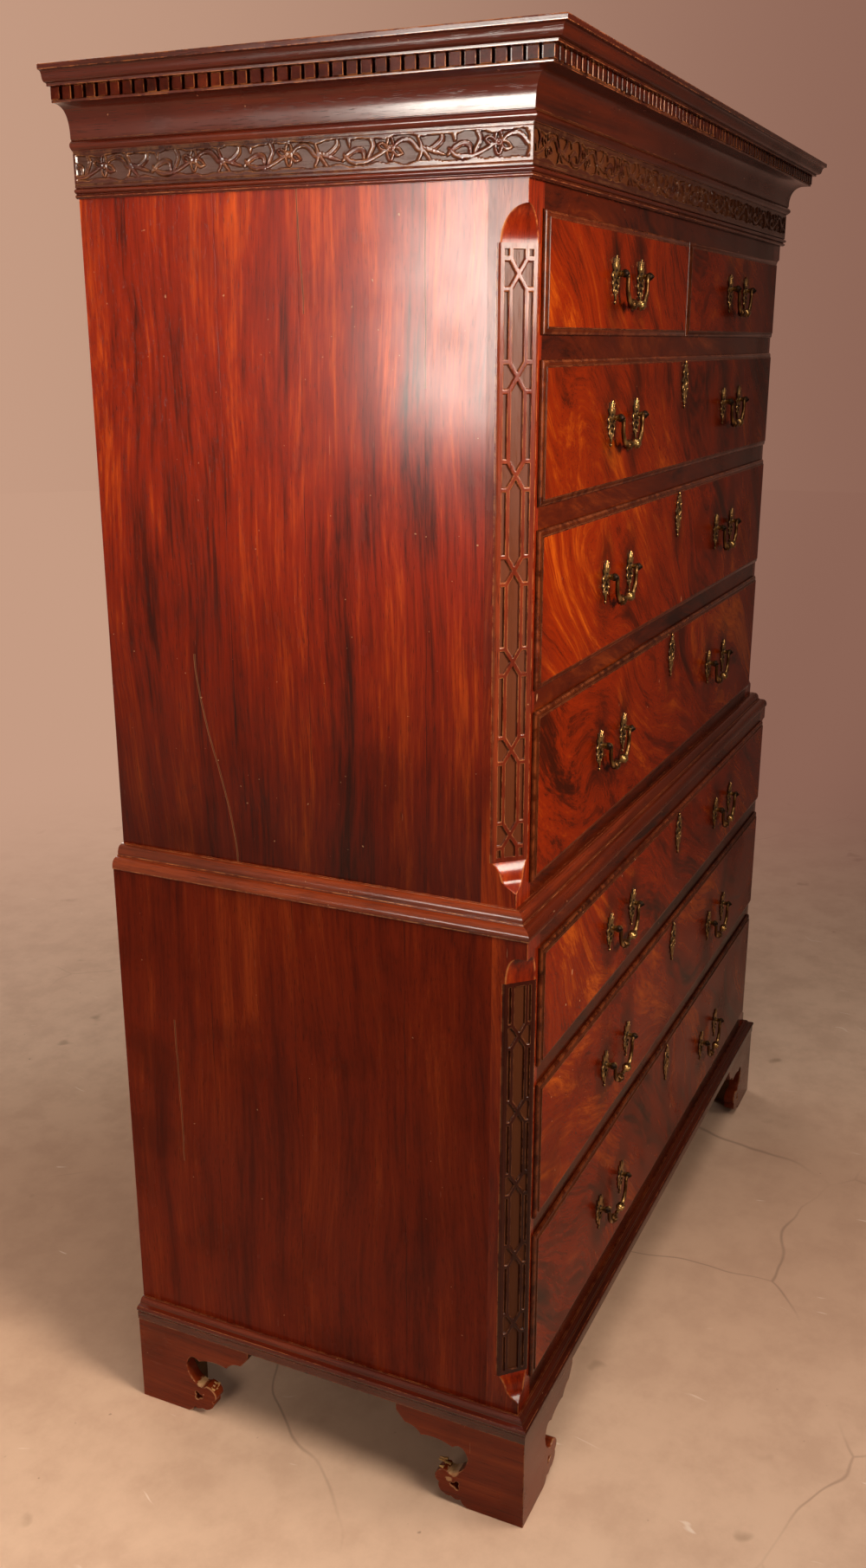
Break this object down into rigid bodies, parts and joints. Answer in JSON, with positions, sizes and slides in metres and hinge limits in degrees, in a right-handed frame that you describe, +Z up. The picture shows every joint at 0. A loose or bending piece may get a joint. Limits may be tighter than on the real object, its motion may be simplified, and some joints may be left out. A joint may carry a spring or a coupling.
{
  "type": "chest on chest",
  "caption": "Tall chest on chest with a dentil cornice, carved frieze, fretted canted corners, lipped drawers with swan-neck bail handles, and bracket feet.",
  "frame": {"origin": "on the floor under the middle of the outer box", "axes": "+Z up, the drawers face -Y, +X to the right of someone facing the drawers"},
  "size_m": [1.35, 0.636, 1.83],
  "materials": {
    "mahogany": "aged french polish, reddish",
    "dark_mahogany": "carved and fretted, darker in the hollows",
    "flame_mahogany": "flame figured veneer, polished",
    "oak": "bare, aged",
    "brass": "cast, dull antique gold"
  },
  "bodies": {
    "carcase": {"upper_left_side": "mahogany", "upper_left_corner_post": "dark_mahogany", "upper_right_side": "mahogany", "upper_right_corner_post": "dark_mahogany", "upper_top_board": "oak", "upper_top_rail": "mahogany", "upper_floor_board": "mahogany", "upper_back_board": "oak", "lower_left_side": "mahogany", "lower_left_corner_post": "dark_mahogany", "lower_right_side": "mahogany", "lower_right_corner_post": "dark_mahogany", "lower_top_board": "mahogany", "lower_floor_board": "mahogany", "lower_back_board": "oak", "cornice": "mahogany", "frieze": "dark_mahogany", "frieze_astragal": "mahogany", "waist_moulding": "mahogany", "base_moulding": "mahogany", "front_left_foot": "mahogany", "back_left_foot": "mahogany", "front_right_foot": "mahogany", "back_right_foot": "mahogany", "upper_dustboard_1": "mahogany", "upper_dustboard_2": "mahogany", "upper_dustboard_3": "mahogany", "lower_dustboard_1": "mahogany", "lower_dustboard_2": "mahogany", "short_drawer_divider": "mahogany"},
    "short_left_drawer": {"short_left_drawer_front": "flame_mahogany", "short_left_drawer_box": "oak"},
    "short_left_drawer_handle": {"short_left_drawer_bail": "brass"},
    "short_right_drawer": {"short_right_drawer_front": "flame_mahogany", "short_right_drawer_box": "oak"},
    "short_right_drawer_handle": {"short_right_drawer_bail": "brass"},
    "upper_drawer_1": {"upper_drawer_1_front": "flame_mahogany", "upper_drawer_1_box": "oak"},
    "upper_drawer_1_left_handle": {"upper_drawer_1_left_bail": "brass"},
    "upper_drawer_1_right_handle": {"upper_drawer_1_right_bail": "brass"},
    "upper_drawer_2": {"upper_drawer_2_front": "flame_mahogany", "upper_drawer_2_box": "oak"},
    "upper_drawer_2_left_handle": {"upper_drawer_2_left_bail": "brass"},
    "upper_drawer_2_right_handle": {"upper_drawer_2_right_bail": "brass"},
    "upper_drawer_3": {"upper_drawer_3_front": "flame_mahogany", "upper_drawer_3_box": "oak"},
    "upper_drawer_3_left_handle": {"upper_drawer_3_left_bail": "brass"},
    "upper_drawer_3_right_handle": {"upper_drawer_3_right_bail": "brass"},
    "lower_drawer_1": {"lower_drawer_1_front": "flame_mahogany", "lower_drawer_1_box": "oak"},
    "lower_drawer_1_left_handle": {"lower_drawer_1_left_bail": "brass"},
    "lower_drawer_1_right_handle": {"lower_drawer_1_right_bail": "brass"},
    "lower_drawer_2": {"lower_drawer_2_front": "flame_mahogany", "lower_drawer_2_box": "oak"},
    "lower_drawer_2_left_handle": {"lower_drawer_2_left_bail": "brass"},
    "lower_drawer_2_right_handle": {"lower_drawer_2_right_bail": "brass"},
    "lower_drawer_3": {"lower_drawer_3_front": "flame_mahogany", "lower_drawer_3_box": "oak"},
    "lower_drawer_3_left_handle": {"lower_drawer_3_left_bail": "brass"},
    "lower_drawer_3_right_handle": {"lower_drawer_3_right_bail": "brass"}
  },
  "joints": [
    {"name": "short_left_drawer_slide", "type": "slide", "parent": "carcase", "child": "short_left_drawer", "axis": [0, -1, 0], "range_m": [0, 0.4]},
    {"name": "short_left_drawer_bail_hinge", "type": "hinge", "parent": "short_left_drawer", "child": "short_left_drawer_handle", "pos_m": [-0.2885, -0.278, 1.609], "axis": [-1, 0, 0], "range_deg": [-8, 100]},
    {"name": "short_right_drawer_slide", "type": "slide", "parent": "carcase", "child": "short_right_drawer", "axis": [0, -1, 0], "range_m": [0, 0.4]},
    {"name": "short_right_drawer_bail_hinge", "type": "hinge", "parent": "short_right_drawer", "child": "short_right_drawer_handle", "pos_m": [0.2885, -0.278, 1.609], "axis": [-1, 0, 0], "range_deg": [-8, 100]},
    {"name": "upper_drawer_1_slide", "type": "slide", "parent": "carcase", "child": "upper_drawer_1", "axis": [0, -1, 0], "range_m": [0, 0.4]},
    {"name": "upper_drawer_1_left_bail_hinge", "type": "hinge", "parent": "upper_drawer_1", "child": "upper_drawer_1_left_handle", "pos_m": [-0.285, -0.278, 1.439], "axis": [-1, 0, 0], "range_deg": [-8, 100]},
    {"name": "upper_drawer_1_right_bail_hinge", "type": "hinge", "parent": "upper_drawer_1", "child": "upper_drawer_1_right_handle", "pos_m": [0.285, -0.278, 1.439], "axis": [-1, 0, 0], "range_deg": [-8, 100]},
    {"name": "upper_drawer_2_slide", "type": "slide", "parent": "carcase", "child": "upper_drawer_2", "axis": [0, -1, 0], "range_m": [0, 0.4]},
    {"name": "upper_drawer_2_left_bail_hinge", "type": "hinge", "parent": "upper_drawer_2", "child": "upper_drawer_2_left_handle", "pos_m": [-0.285, -0.278, 1.2395], "axis": [-1, 0, 0], "range_deg": [-8, 100]},
    {"name": "upper_drawer_2_right_bail_hinge", "type": "hinge", "parent": "upper_drawer_2", "child": "upper_drawer_2_right_handle", "pos_m": [0.285, -0.278, 1.2395], "axis": [-1, 0, 0], "range_deg": [-8, 100]},
    {"name": "upper_drawer_3_slide", "type": "slide", "parent": "carcase", "child": "upper_drawer_3", "axis": [0, -1, 0], "range_m": [0, 0.4]},
    {"name": "upper_drawer_3_left_bail_hinge", "type": "hinge", "parent": "upper_drawer_3", "child": "upper_drawer_3_left_handle", "pos_m": [-0.285, -0.278, 1.013], "axis": [-1, 0, 0], "range_deg": [-8, 100]},
    {"name": "upper_drawer_3_right_bail_hinge", "type": "hinge", "parent": "upper_drawer_3", "child": "upper_drawer_3_right_handle", "pos_m": [0.285, -0.278, 1.013], "axis": [-1, 0, 0], "range_deg": [-8, 100]},
    {"name": "lower_drawer_1_slide", "type": "slide", "parent": "carcase", "child": "lower_drawer_1", "axis": [0, -1, 0], "range_m": [0, 0.4]},
    {"name": "lower_drawer_1_left_bail_hinge", "type": "hinge", "parent": "lower_drawer_1", "child": "lower_drawer_1_left_handle", "pos_m": [-0.29, -0.304, 0.755], "axis": [-1, 0, 0], "range_deg": [-8, 100]},
    {"name": "lower_drawer_1_right_bail_hinge", "type": "hinge", "parent": "lower_drawer_1", "child": "lower_drawer_1_right_handle", "pos_m": [0.29, -0.304, 0.755], "axis": [-1, 0, 0], "range_deg": [-8, 100]},
    {"name": "lower_drawer_2_slide", "type": "slide", "parent": "carcase", "child": "lower_drawer_2", "axis": [0, -1, 0], "range_m": [0, 0.4]},
    {"name": "lower_drawer_2_left_bail_hinge", "type": "hinge", "parent": "lower_drawer_2", "child": "lower_drawer_2_left_handle", "pos_m": [-0.29, -0.304, 0.5435], "axis": [-1, 0, 0], "range_deg": [-8, 100]},
    {"name": "lower_drawer_2_right_bail_hinge", "type": "hinge", "parent": "lower_drawer_2", "child": "lower_drawer_2_right_handle", "pos_m": [0.29, -0.304, 0.5435], "axis": [-1, 0, 0], "range_deg": [-8, 100]},
    {"name": "lower_drawer_3_slide", "type": "slide", "parent": "carcase", "child": "lower_drawer_3", "axis": [0, -1, 0], "range_m": [0, 0.4]},
    {"name": "lower_drawer_3_left_bail_hinge", "type": "hinge", "parent": "lower_drawer_3", "child": "lower_drawer_3_left_handle", "pos_m": [-0.29, -0.304, 0.3065], "axis": [-1, 0, 0], "range_deg": [-8, 100]},
    {"name": "lower_drawer_3_right_bail_hinge", "type": "hinge", "parent": "lower_drawer_3", "child": "lower_drawer_3_right_handle", "pos_m": [0.29, -0.304, 0.3065], "axis": [-1, 0, 0], "range_deg": [-8, 100]}
  ]
}
